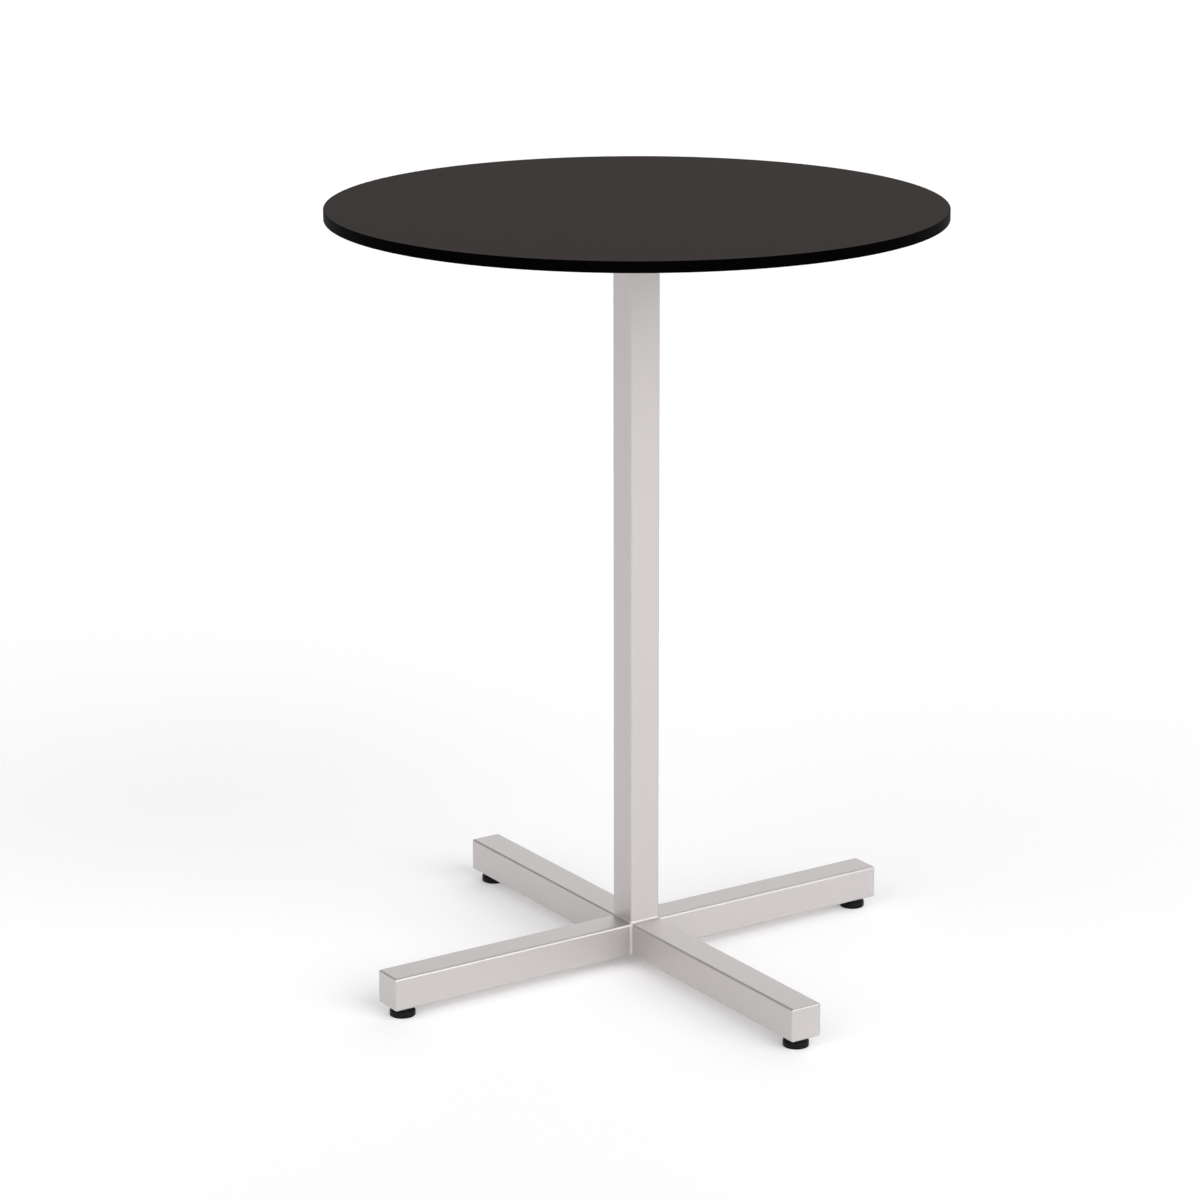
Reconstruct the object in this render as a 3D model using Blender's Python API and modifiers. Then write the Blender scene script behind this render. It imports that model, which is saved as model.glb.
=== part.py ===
"""Counter height table with a round laminate top, a square steel column and a cross base.

Lengths are in metres and +Z is up. The origin is on the floor, under the column's axis.
The four arms of the base run along +X, +Y, -X and -Y, and each stands on a levelling glide.
"""

import math

import bmesh
import bpy
from mathutils import Matrix

# Overall sizes
TABLE_HEIGHT = 0.9144
TOP_DIAMETER = 0.7112
TOP_THICKNESS = 0.0127
TOP_EDGE_RADIUS = 0.0010
BASE_SPAN = 0.690
BASE_GROUND_CLEARANCE = 0.0133

# Square tube of the column and the arms
TUBE_WIDTH = 0.040
TUBE_WALL = 0.0020
TUBE_CORNER_RADIUS = 0.0030

# Welded plates
MOUNTING_PLATE_WIDTH = 0.240
MOUNTING_PLATE_THICKNESS = 0.0050
MOUNTING_PLATE_CORNER_RADIUS = 0.012
MOUNTING_PLATE_EDGE_RADIUS = 0.0006
END_PLATE_THICKNESS = 0.0030
END_PLATE_EDGE_RADIUS = 0.0022
BOTTOM_PLATE_THICKNESS = 0.0030
DRAIN_HOLE_DIAMETER = 0.008

# M6 fasteners between the mounting plate and the top
SCREW_SPACING = 0.200
SCREW_DIAMETER = 0.0060
SCREW_LENGTH = 0.016
SCREW_HEAD_DIAMETER = 0.0105
SCREW_HEAD_HEIGHT = 0.0033
SCREW_SOCKET_ACROSS_FLATS = 0.0040
SCREW_SOCKET_DEPTH = 0.0021
SCREW_TIP_CHAMFER = 0.0006
SCREW_HOLE_DIAMETER = 0.0070
WASHER_DIAMETER = 0.0125
WASHER_THICKNESS = 0.0016
INSERT_DIAMETER = 0.0090
INSERT_LENGTH = 0.0090

# M8 levelling glides
STEM_DIAMETER = 0.0080
STEM_LENGTH = 0.025
STEM_TIP_CHAMFER = 0.0010
COLLAR_ACROSS_FLATS = 0.013
COLLAR_HEIGHT = 0.0040
BUTTON_DIAMETER = 0.014
BUTTON_HEIGHT = 0.0028
PAD_DIAMETER = 0.030
PAD_HEIGHT = 0.0080
PAD_FLOOR_THICKNESS = 0.0025
PAD_SHOULDER_RADIUS = 0.0018
PAD_HEEL_CHAMFER = 0.0007
NUT_ACROSS_FLATS = 0.013
NUT_HEIGHT = 0.0065
ARM_HOLE_DIAMETER = 0.0095

# Clearances
TOUCH_GAP = 0.0003
THREAD_CLEARANCE = 0.0003
SOCKET_CLEARANCE = 0.0003
CUTTER_MARGIN = 0.002

# Facets
TOP_SEGMENTS = 128
PAD_SEGMENTS = 36
SMALL_SEGMENTS = 24
CORNER_SEGMENTS = 4
EDGE_SEGMENTS = 3
ARC_STEPS = 3
TOP_EDGE_STEPS = 2
SMOOTH_ANGLE = math.radians(35)
MERGE_DISTANCE = 0.00001

# Heights and places that follow from the sizes above
TOP_UNDERSIDE_Z = TABLE_HEIGHT - TOP_THICKNESS
PLATE_TOP_Z = TOP_UNDERSIDE_Z - TOUCH_GAP
PLATE_UNDERSIDE_Z = PLATE_TOP_Z - MOUNTING_PLATE_THICKNESS
COLUMN_TOP_Z = PLATE_UNDERSIDE_Z - TOUCH_GAP
COLUMN_BOTTOM_Z = BASE_GROUND_CLEARANCE
TUBE_BORE = TUBE_WIDTH - 2 * TUBE_WALL
TUBE_BORE_RADIUS = max(TUBE_CORNER_RADIUS - TUBE_WALL, TOUCH_GAP)
ARM_AXIS_Z = BASE_GROUND_CLEARANCE + TUBE_WIDTH / 2
ARM_INNER_X = TUBE_WIDTH / 2 + TOUCH_GAP
ARM_OUTER_X = BASE_SPAN / 2 - END_PLATE_THICKNESS - TOUCH_GAP
GLIDE_X = BASE_SPAN / 2 - TUBE_WIDTH / 2
ARM_FLOOR_Z = BASE_GROUND_CLEARANCE + TUBE_WALL
PAD_SOCKET_RADIUS = BUTTON_DIAMETER / 2 + SOCKET_CLEARANCE
PAD_MOUTH_RADIUS = STEM_DIAMETER / 2 + SOCKET_CLEARANCE
BUTTON_BOTTOM_Z = PAD_FLOOR_THICKNESS + SOCKET_CLEARANCE
BUTTON_TOP_Z = BUTTON_BOTTOM_Z + BUTTON_HEIGHT
PAD_CEILING_Z = BUTTON_TOP_Z + SOCKET_CLEARANCE
COLLAR_BOTTOM_Z = PAD_HEIGHT + TOUCH_GAP
COLLAR_TOP_Z = COLLAR_BOTTOM_Z + COLLAR_HEIGHT
STEM_TOP_Z = COLLAR_TOP_Z + STEM_LENGTH
WASHER_TOP_Z = PLATE_UNDERSIDE_Z - TOUCH_GAP
WASHER_BOTTOM_Z = WASHER_TOP_Z - WASHER_THICKNESS
SCREW_SEAT_Z = WASHER_BOTTOM_Z - TOUCH_GAP
SCREW_HEAD_Z = SCREW_SEAT_Z - SCREW_HEAD_HEIGHT
SCREW_TIP_Z = SCREW_SEAT_Z + SCREW_LENGTH
INSERT_BORE_RADIUS = SCREW_DIAMETER / 2 + THREAD_CLEARANCE
INSERT_HOLE_RADIUS = INSERT_DIAMETER / 2 + TOUCH_GAP
INSERT_HOLE_DEPTH = max(INSERT_LENGTH, SCREW_TIP_Z - TOP_UNDERSIDE_Z) + TOUCH_GAP

ARMS = (("right", 0), ("back", 90), ("left", 180), ("front", 270))
CORNERS = (
    ("back_right", 1, 1),
    ("back_left", -1, 1),
    ("front_left", -1, -1),
    ("front_right", 1, -1),
)


def clear_scene():
    """Remove every object that the file holds."""
    for obj in list(bpy.data.objects):
        bpy.data.objects.remove(obj, do_unlink=True)


def new_collection(name):
    collection = bpy.data.collections.new(name)
    bpy.context.scene.collection.children.link(collection)
    return collection


def principled(name, color, roughness, metallic):
    """Make a Principled BSDF material."""
    material = bpy.data.materials.new(name)
    material.use_nodes = True
    shader = material.node_tree.nodes["Principled BSDF"]
    shader.inputs["Base Color"].default_value = (*color, 1.0)
    shader.inputs["Roughness"].default_value = roughness
    shader.inputs["Metallic"].default_value = metallic
    material.diffuse_color = (*color, 1.0)
    return material


clear_scene()
PARTS = new_collection("counter_height_table")
CUTTERS = new_collection("cutters")

LAMINATE = principled("black_laminate", (0.047, 0.042, 0.041), 0.55, 0.0)
SATIN_STEEL = principled("satin_steel", (0.62, 0.59, 0.58), 0.32, 1.0)
ZINC_STEEL = principled("zinc_plated_steel", (0.55, 0.56, 0.57), 0.38, 1.0)
BLACK_STEEL = principled("black_oxide_steel", (0.03, 0.03, 0.03), 0.45, 1.0)
BRASS = principled("insert_brass", (0.72, 0.53, 0.24), 0.35, 1.0)
BLACK_NYLON = principled("black_nylon", (0.012, 0.012, 0.012), 0.5, 0.0)


def add_object(name, bm, collection=PARTS, material=None, parent=None, location=(0, 0, 0)):
    """Turn a bmesh into an object at a location in its parent's frame."""
    mesh = bpy.data.meshes.new(name)
    bm.to_mesh(mesh)
    bm.free()
    obj = bpy.data.objects.new(name, mesh)
    collection.objects.link(obj)
    obj.location = location
    obj.parent = parent
    if material:
        mesh.materials.append(material)
    return obj


def cube(size, center=(0, 0, 0)):
    """Make a box with its scale already in its points."""
    bm = bmesh.new()
    matrix = Matrix.Translation(center) @ Matrix.Diagonal((*size, 1.0))
    bmesh.ops.create_cube(bm, size=1.0, matrix=matrix)
    return bm


def prism(sides, radius, bottom, top):
    """Make an upright prism between two heights. Its first corner lies at +X."""
    bm = bmesh.new()
    matrix = Matrix.Translation((0, 0, (bottom + top) / 2))
    bmesh.ops.create_cone(
        bm,
        cap_ends=True,
        segments=sides,
        radius1=radius,
        radius2=radius,
        depth=top - bottom,
        matrix=matrix,
    )
    return bm


def hexagon(across_flats, bottom, top):
    return prism(6, across_flats / 2 / math.cos(math.pi / 6), bottom, top)


def arc(center_r, center_z, radius, start, end, steps=ARC_STEPS):
    """List the (r, z) points of an arc, with its angles in degrees from +r."""
    points = []
    for step in range(steps + 1):
        angle = math.radians(start + (end - start) * step / steps)
        points.append((center_r + radius * math.cos(angle), center_z + radius * math.sin(angle)))
    return points


def turned(name, profile, segments, material, parent=None, location=(0, 0, 0), ring=False):
    """Turn an (r, z) profile about Z. A ring's profile closes on itself."""
    bm = bmesh.new()
    points = [bm.verts.new((r, 0, z)) for r, z in profile]
    pairs = list(zip(points, points[1:]))
    if ring:
        pairs.append((points[-1], points[0]))
    for first, second in pairs:
        bm.edges.new((first, second))
    obj = add_object(name, bm, PARTS, material, parent, location)
    screw = obj.modifiers.new("turn", "SCREW")
    screw.axis = "Z"
    screw.angle = math.tau
    screw.steps = segments
    screw.render_steps = segments
    screw.use_merge_vertices = True
    screw.merge_threshold = MERGE_DISTANCE
    return obj


def bevel(obj, width, segments, angle=math.radians(30)):
    """Round every edge sharper than an angle."""
    modifier = obj.modifiers.new("round_edges", "BEVEL")
    modifier.width = width
    modifier.segments = segments
    modifier.limit_method = "ANGLE"
    modifier.angle_limit = angle
    return modifier


def bevel_marked(obj, width, segments):
    """Round the edges that carry a bevel weight."""
    modifier = bevel(obj, width, segments)
    modifier.limit_method = "WEIGHT"
    return modifier


def mark_edges(bm, test):
    """Give a bevel weight to each edge that passes a test on its two end points."""
    weight = bm.edges.layers.float.new("bevel_weight_edge")
    for edge in bm.edges:
        if test(edge.verts[0].co, edge.verts[1].co):
            edge[weight] = 1.0


def boolean(obj, cutter, operation):
    """Cut a hidden tool from an object, or join it on."""
    cutter.hide_render = True
    cutter.display_type = "WIRE"
    modifier = obj.modifiers.new(cutter.name, "BOOLEAN")
    modifier.operation = operation
    modifier.solver = "EXACT"
    modifier.object = cutter


def finish(obj):
    """Apply the modifiers, and shade the result smooth between its sharp edges."""
    bpy.context.view_layer.update()
    depsgraph = bpy.context.evaluated_depsgraph_get()
    mesh = bpy.data.meshes.new_from_object(obj.evaluated_get(depsgraph))
    mesh.name = obj.name
    obj.modifiers.clear()
    obj.data = mesh
    mesh.shade_smooth()
    mesh.set_sharp_from_angle(angle=SMOOTH_ANGLE)


def square_tube(name, size, center, open_axis, parent=None):
    """Make a square tube with rounded corners, open at both ends along one axis."""
    bm = cube(size, center)
    ends = [face for face in bm.faces if abs(face.normal[open_axis]) > 0.5]
    bmesh.ops.delete(bm, geom=ends, context="FACES_ONLY")
    obj = add_object(name, bm, PARTS, SATIN_STEEL, parent)
    bevel(obj, TUBE_CORNER_RADIUS, CORNER_SEGMENTS)
    solidify = obj.modifiers.new("wall", "SOLIDIFY")
    solidify.thickness = TUBE_WALL
    solidify.offset = -1.0
    solidify.use_even_offset = True
    return obj


def make_table_top():
    """The laminate disc, with a blind hole for each insert in its underside."""
    radius = TOP_DIAMETER / 2
    eased = TOP_EDGE_RADIUS
    profile = [(0, TABLE_HEIGHT)]
    profile += arc(radius - eased, TABLE_HEIGHT - eased, eased, 90, 0, TOP_EDGE_STEPS)
    profile += arc(radius - eased, TOP_UNDERSIDE_Z + eased, eased, 0, -90, TOP_EDGE_STEPS)
    profile += [(0, TOP_UNDERSIDE_Z)]
    top = turned("table_top", profile, TOP_SEGMENTS, LAMINATE)
    for corner, side_x, side_y in CORNERS:
        bottom = TOP_UNDERSIDE_Z - CUTTER_MARGIN
        hole = prism(SMALL_SEGMENTS, INSERT_HOLE_RADIUS, bottom, TOP_UNDERSIDE_Z + INSERT_HOLE_DEPTH)
        place = (side_x * SCREW_SPACING / 2, side_y * SCREW_SPACING / 2, 0)
        boolean(top, add_object("insert_hole_" + corner, hole, CUTTERS, location=place), "DIFFERENCE")
    finish(top)


def make_mounting_plate():
    """The square plate on the column's top end, with a clear hole for each screw."""
    width = MOUNTING_PLATE_WIDTH
    middle = (PLATE_TOP_Z + PLATE_UNDERSIDE_Z) / 2
    bm = cube((width, width, MOUNTING_PLATE_THICKNESS), (0, 0, middle))
    mark_edges(bm, lambda a, b: abs(a.z - b.z) > MERGE_DISTANCE)
    plate = add_object("mounting_plate", bm, PARTS, SATIN_STEEL)
    bevel_marked(plate, MOUNTING_PLATE_CORNER_RADIUS, CORNER_SEGMENTS)
    bevel(plate, MOUNTING_PLATE_EDGE_RADIUS, 1, math.radians(60))
    for corner, side_x, side_y in CORNERS:
        bottom = PLATE_UNDERSIDE_Z - CUTTER_MARGIN
        hole = prism(SMALL_SEGMENTS, SCREW_HOLE_DIAMETER / 2, bottom, PLATE_TOP_Z + CUTTER_MARGIN)
        place = (side_x * SCREW_SPACING / 2, side_y * SCREW_SPACING / 2, 0)
        boolean(plate, add_object("screw_hole_" + corner, hole, CUTTERS, location=place), "DIFFERENCE")
    finish(plate)


def make_top_fixings(corner, side_x, side_y):
    """One insert in the top, with the screw and washer that hold the plate to it."""
    place = (side_x * SCREW_SPACING / 2, side_y * SCREW_SPACING / 2, 0)

    outer, bore = INSERT_DIAMETER / 2, INSERT_BORE_RADIUS
    low, high = TOP_UNDERSIDE_Z, TOP_UNDERSIDE_Z + INSERT_LENGTH
    profile = [(outer, high), (outer, low), (bore, low), (bore, high)]
    finish(turned("top_insert_" + corner, profile, SMALL_SEGMENTS, BRASS, None, place, ring=True))

    outer, bore = WASHER_DIAMETER / 2, SCREW_DIAMETER / 2 + TOUCH_GAP
    profile = [
        (outer, WASHER_TOP_Z),
        (outer, WASHER_BOTTOM_Z),
        (bore, WASHER_BOTTOM_Z),
        (bore, WASHER_TOP_Z),
    ]
    finish(turned("top_washer_" + corner, profile, SMALL_SEGMENTS, ZINC_STEEL, None, place, ring=True))

    shank, head = SCREW_DIAMETER / 2, SCREW_HEAD_DIAMETER / 2
    crown = head - SCREW_SOCKET_ACROSS_FLATS / 2 - SCREW_TIP_CHAMFER
    profile = [
        (0, SCREW_TIP_Z),
        (shank - SCREW_TIP_CHAMFER, SCREW_TIP_Z),
        (shank, SCREW_TIP_Z - SCREW_TIP_CHAMFER),
        (shank, SCREW_SEAT_Z),
        (head, SCREW_SEAT_Z),
    ]
    for step in range(1, ARC_STEPS + 1):
        angle = math.pi / 2 * step / ARC_STEPS
        profile.append((
            head - crown * (1 - math.cos(angle)),
            SCREW_SEAT_Z - SCREW_HEAD_HEIGHT * math.sin(angle),
        ))
    profile.append((0, SCREW_HEAD_Z))
    screw = turned("top_screw_" + corner, profile, SMALL_SEGMENTS, BLACK_STEEL, None, place)
    socket = hexagon(
        SCREW_SOCKET_ACROSS_FLATS, SCREW_HEAD_Z - CUTTER_MARGIN, SCREW_HEAD_Z + SCREW_SOCKET_DEPTH
    )
    boolean(screw, add_object("screw_socket_" + corner, socket, CUTTERS, location=place), "DIFFERENCE")
    finish(screw)


def make_column():
    """The upright tube, and the plate that closes its lower end from inside."""
    height = COLUMN_TOP_Z - COLUMN_BOTTOM_Z
    middle = (COLUMN_TOP_Z + COLUMN_BOTTOM_Z) / 2
    finish(square_tube("column_tube", (TUBE_WIDTH, TUBE_WIDTH, height), (0, 0, middle), 2))

    width = TUBE_BORE - 2 * TOUCH_GAP
    middle = COLUMN_BOTTOM_Z + BOTTOM_PLATE_THICKNESS / 2
    bm = cube((width, width, BOTTOM_PLATE_THICKNESS), (0, 0, middle))
    mark_edges(bm, lambda a, b: abs(a.z - b.z) > MERGE_DISTANCE)
    plate = add_object("column_bottom_plate", bm, PARTS, SATIN_STEEL)
    bevel_marked(plate, TUBE_BORE_RADIUS, EDGE_SEGMENTS)
    bottom = COLUMN_BOTTOM_Z - CUTTER_MARGIN
    top = COLUMN_BOTTOM_Z + BOTTOM_PLATE_THICKNESS + CUTTER_MARGIN
    hole = prism(SMALL_SEGMENTS, DRAIN_HOLE_DIAMETER / 2, bottom, top)
    boolean(plate, add_object("drain_hole", hole, CUTTERS), "DIFFERENCE")
    finish(plate)


def make_arm(side, frame):
    """One arm along its frame's +X, with its end plate and the weld nut inside it."""
    length = ARM_OUTER_X - ARM_INNER_X
    middle = ((ARM_OUTER_X + ARM_INNER_X) / 2, 0, ARM_AXIS_Z)
    tube = square_tube("arm_tube_" + side, (length, TUBE_WIDTH, TUBE_WIDTH), middle, 0, frame)
    bottom = BASE_GROUND_CLEARANCE - CUTTER_MARGIN
    hole = prism(SMALL_SEGMENTS, ARM_HOLE_DIAMETER / 2, bottom, ARM_FLOOR_Z + CUTTER_MARGIN)
    place = (GLIDE_X, 0, 0)
    cutter = add_object("stem_hole_" + side, hole, CUTTERS, parent=frame, location=place)
    boolean(tube, cutter, "DIFFERENCE")
    finish(tube)

    outer_x = BASE_SPAN / 2
    middle = (outer_x - END_PLATE_THICKNESS / 2, 0, ARM_AXIS_Z)
    bm = cube((END_PLATE_THICKNESS, TUBE_WIDTH, TUBE_WIDTH), middle)
    mark_edges(bm, lambda a, b: abs(a.x - b.x) > MERGE_DISTANCE)
    plate = add_object("arm_end_plate_" + side, bm, PARTS, SATIN_STEEL, frame)
    bevel_marked(plate, TUBE_CORNER_RADIUS, CORNER_SEGMENTS)
    finish(plate)
    round_outer_rim(plate, outer_x)

    bottom = ARM_FLOOR_Z + TOUCH_GAP
    nut = add_object(
        "arm_nut_" + side,
        hexagon(NUT_ACROSS_FLATS, bottom, bottom + NUT_HEIGHT),
        PARTS,
        ZINC_STEEL,
        frame,
        place,
    )
    bore_radius = STEM_DIAMETER / 2 + THREAD_CLEARANCE
    bore = prism(SMALL_SEGMENTS, bore_radius, bottom - CUTTER_MARGIN, bottom + NUT_HEIGHT + CUTTER_MARGIN)
    cutter = add_object("nut_bore_" + side, bore, CUTTERS, parent=frame, location=place)
    boolean(nut, cutter, "DIFFERENCE")
    finish(nut)


def round_outer_rim(plate, outer_x):
    """Round the rim of an end plate's outer face, where the weld is ground flush."""
    bm = bmesh.new()
    bm.from_mesh(plate.data)
    mark_edges(bm, lambda a, b: min(a.x, b.x) > outer_x - MERGE_DISTANCE)
    bm.to_mesh(plate.data)
    bm.free()
    width = min(END_PLATE_EDGE_RADIUS, END_PLATE_THICKNESS - TOUCH_GAP)
    bevel_marked(plate, width, EDGE_SEGMENTS)
    finish(plate)


def make_glide(side, frame):
    """One levelling glide: a nylon pad, and a stem whose button foot turns in the pad."""
    place = (GLIDE_X, 0, 0)
    radius = PAD_DIAMETER / 2
    shoulder = PAD_SHOULDER_RADIUS
    profile = [
        (0, PAD_FLOOR_THICKNESS),
        (PAD_SOCKET_RADIUS, PAD_FLOOR_THICKNESS),
        (PAD_SOCKET_RADIUS, PAD_CEILING_Z),
        (PAD_MOUTH_RADIUS, PAD_CEILING_Z),
        (PAD_MOUTH_RADIUS, PAD_HEIGHT),
    ]
    profile += arc(radius - shoulder, PAD_HEIGHT - shoulder, shoulder, 90, 0)
    profile += [
        (radius, PAD_HEEL_CHAMFER),
        (radius - PAD_HEEL_CHAMFER, 0),
        (0, 0),
    ]
    finish(turned("glide_pad_" + side, profile, PAD_SEGMENTS, BLACK_NYLON, frame, place))

    shank, button = STEM_DIAMETER / 2, BUTTON_DIAMETER / 2
    profile = [
        (0, STEM_TOP_Z),
        (shank - STEM_TIP_CHAMFER, STEM_TOP_Z),
        (shank, STEM_TOP_Z - STEM_TIP_CHAMFER),
        (shank, BUTTON_TOP_Z),
        (button, BUTTON_TOP_Z),
        (button, BUTTON_BOTTOM_Z),
        (0, BUTTON_BOTTOM_Z),
    ]
    stem = turned("glide_stem_" + side, profile, SMALL_SEGMENTS, ZINC_STEEL, frame, place)
    collar = hexagon(COLLAR_ACROSS_FLATS, COLLAR_BOTTOM_Z, COLLAR_TOP_Z)
    cutter = add_object("collar_" + side, collar, CUTTERS, parent=frame, location=place)
    boolean(stem, cutter, "UNION")
    finish(stem)


def make_base():
    """The four arms and their glides, each built in a frame turned about Z."""
    for side, angle in ARMS:
        frame = bpy.data.objects.new("arm_frame_" + side, None)
        PARTS.objects.link(frame)
        frame.rotation_euler.z = math.radians(angle)
        make_arm(side, frame)
        make_glide(side, frame)


make_table_top()
make_mounting_plate()
for corner_name, x_sign, y_sign in CORNERS:
    make_top_fixings(corner_name, x_sign, y_sign)
make_column()
make_base()
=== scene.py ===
"""Looks of the counter height table: its finishes, its fine shapes, a plain studio and the camera.

Lengths are in metres and +Z is up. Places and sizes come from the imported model's nodes, and the
named values below hold only what those boxes can't tell.
"""

import math

import bmesh
import bpy
import numpy as np
from mathutils import Matrix, Vector


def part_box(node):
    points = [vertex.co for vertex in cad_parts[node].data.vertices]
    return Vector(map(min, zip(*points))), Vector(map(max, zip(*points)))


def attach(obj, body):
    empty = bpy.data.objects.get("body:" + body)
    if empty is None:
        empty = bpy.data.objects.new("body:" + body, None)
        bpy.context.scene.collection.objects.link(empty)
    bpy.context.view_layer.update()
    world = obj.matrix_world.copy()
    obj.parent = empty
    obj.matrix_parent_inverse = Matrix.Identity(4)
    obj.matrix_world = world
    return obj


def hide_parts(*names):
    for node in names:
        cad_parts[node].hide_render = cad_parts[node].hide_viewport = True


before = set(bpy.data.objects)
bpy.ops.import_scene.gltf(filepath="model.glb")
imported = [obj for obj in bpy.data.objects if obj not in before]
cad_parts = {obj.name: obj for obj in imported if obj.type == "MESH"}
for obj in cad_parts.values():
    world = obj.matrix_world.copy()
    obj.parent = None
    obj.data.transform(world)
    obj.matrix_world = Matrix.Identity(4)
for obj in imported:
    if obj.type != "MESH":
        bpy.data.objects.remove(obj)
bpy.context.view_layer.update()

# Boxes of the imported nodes. Those of one arm stand for all four.
TOP_LOW, TOP_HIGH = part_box("table_top")
COLUMN_LOW, COLUMN_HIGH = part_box("column_tube")
PLATE_LOW, PLATE_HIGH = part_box("mounting_plate")
CAP_LOW, CAP_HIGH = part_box("arm_end_plate_right")
NUT_LOW, NUT_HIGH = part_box("arm_nut_right")
PAD_LOW, PAD_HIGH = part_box("glide_pad_right")
STEM_LOW, STEM_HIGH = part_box("glide_stem_right")
INSERT_LOW, INSERT_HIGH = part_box("top_insert_back_right")
WASHER_LOW, WASHER_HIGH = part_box("top_washer_back_right")
SCREW_LOW, SCREW_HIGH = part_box("top_screw_back_right")

ARMS = (("right", 0), ("back", 90), ("left", 180), ("front", 270))
CORNERS = ("back_right", "back_left", "front_left", "front_right")

# Tubes and plates
TUBE_WALL = 0.0020
TUBE_CORNER_RADIUS = 0.0030
TUBE_BORE_RADIUS = 0.0010
JOINT_GROOVE = 0.0004
CAP_RIM_RADIUS = 0.0022
ARM_HOLE_RADIUS = 0.00475
PLATE_CORNER_RADIUS = 0.012
PLATE_EDGE_RADIUS = 0.0006
PLATE_HOLE_RADIUS = 0.0035
WELD_LEG = 0.0042
WELD_CROWN = 0.0007
WELD_RIPPLE_PITCH = 0.0019
WELD_RIPPLE_HEIGHT = 0.00022
WELD_RIPPLE_CURL = 0.9

# The base's ground fillet welds. They feather out just under the tubes' faces.
FILLET_RADIUS = 0.0031
FILLET_ROOT = 0.0012
FILLET_SINK = 0.00003
FILLET_FEATHER = 0.00001
FILLET_PITCH = 0.0006
FILLET_MARGIN = 0.005
FILLET_SETTLING = 4
FILLET_LEAST_SLOPE = 0.25

# Top
TOP_EDGE_RADIUS = 0.0010
TOP_FACE_LEVEL = 0.999
INSERT_HOLE_GAP = 0.0003

# M6 screws and M8 glides
SCREW_DIAMETER = 0.0060
SCREW_PITCH = 0.0010
SCREW_HEAD_HEIGHT = 0.0033
SCREW_SOCKET_ACROSS_FLATS = 0.0040
SCREW_SOCKET_DEPTH = 0.0021
SCREW_SOCKET_CHAMFER = 0.0003
SCREW_HOLE_IN_WASHER = 0.0033
WASHER_EDGE_RADIUS = 0.0003
STEM_DIAMETER = 0.0080
STEM_PITCH = 0.00125
THREAD_TIP_CHAMFER = 0.0010
THREAD_RUNOUT = 0.0009
COLLAR_ACROSS_FLATS = 0.0130
COLLAR_HEIGHT = 0.0040
COLLAR_GAP = 0.0003
BUTTON_HEIGHT = 0.0028
BUTTON_EDGE_RADIUS = 0.0005
PAD_FLOOR_THICKNESS = 0.0025
PAD_SOCKET_RADIUS = 0.0073
PAD_CEILING_Z = 0.0059
PAD_MOUTH_RADIUS = 0.0043
PAD_SHOULDER_RADIUS = 0.0026
PAD_HEEL_RADIUS = 0.0009
PAD_PARTING_GROOVE = 0.00012
CUTTER_MARGIN = 0.002
ROD_OVERLAP = 0.0005

# A 60 degree thread, in shares of its pitch
THREAD_DEPTH = 0.6134
THREAD_CREST = 0.125
THREAD_FLANK = 0.354
THREAD_SPARE_TURNS = 3

# Facets
CORNER_STEPS = 8
EDGE_STEPS = 5
RIM_STEPS = 7
TOP_SEGMENTS = 360
PAD_SEGMENTS = 96
SMALL_SEGMENTS = 48
THREAD_SEGMENTS = 32
WELD_STEPS = 6
WELD_POINTS_PER_RIPPLE = 6
SMOOTH_ANGLE = math.radians(32)
MERGE_DISTANCE = 0.0000005

# Camera, solved from the photograph's rim ellipses, tube edges and feet
CAMERA_PLACE = (-2.3014, -3.4305, 1.6121)
CAMERA_HEADING = math.radians(-33.267)
CAMERA_TILT = math.radians(74.252)
CAMERA_ROLL = math.radians(-0.112)
CAMERA_LENS_MM = 109.944
CAMERA_SENSOR_MM = 36.0

# Studio. The floor's lift and the backdrop are seen by camera, glossy and transmission rays alike.
# The backdrop is white up to one height above the horizon, and fades out by the other.
# Each soft light is (azimuth from +X and elevation in degrees, strength).
FLOOR_HALF_WIDTH = 40.0
FLOOR_COLOR = (0.95, 0.95, 0.95)
FLOOR_LIFT = 0.125
BACKDROP_WHITE = 1.0
BACKDROP_WHITE_TO = math.radians(10)
BACKDROP_GONE_AT = math.radians(13)
ROOM_LIGHT = 0.20
LIGHT_CORE = math.radians(6)
LIGHT_REACH = math.radians(34)
SOFT_LIGHTS = (
    (56.7, 54.0, 0.13),
    (-168.3, 54.0, 0.55),
    (56.7, 32.0, 0.78),
    (-168.3, 32.0, 0.76),
    (-123.3, 32.0, 0.42),
    (-78.3, 32.0, 3.05),
    (-33.3, 32.0, 0.17),
    (11.7, 32.0, 0.64),
    (56.7, 10.0, 0.23),
    (-168.3, 10.0, 1.40),
    (-123.3, 10.0, 0.84),
    (-78.3, 10.0, 1.44),
    (11.7, 10.0, 0.22),
)


def rounded_square(half, radius):
    """List the points of a square outline with round corners, anticlockwise."""
    points = []
    for quarter in range(4):
        start = quarter * math.pi / 2
        corner = Matrix.Rotation(start, 2) @ Vector((half - radius, half - radius))
        for step in range(CORNER_STEPS + 1):
            angle = start + math.pi / 2 * step / CORNER_STEPS
            points.append((corner.x + radius * math.cos(angle), corner.y + radius * math.sin(angle)))
    return points


def arc(center_r, center_z, radius, start, end, steps=EDGE_STEPS):
    """List the (r, z) points of an arc, with its angles in degrees from +r."""
    points = []
    for step in range(steps + 1):
        angle = math.radians(start + (end - start) * step / steps)
        points.append((center_r + radius * math.cos(angle), center_z + radius * math.sin(angle)))
    return points


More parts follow.
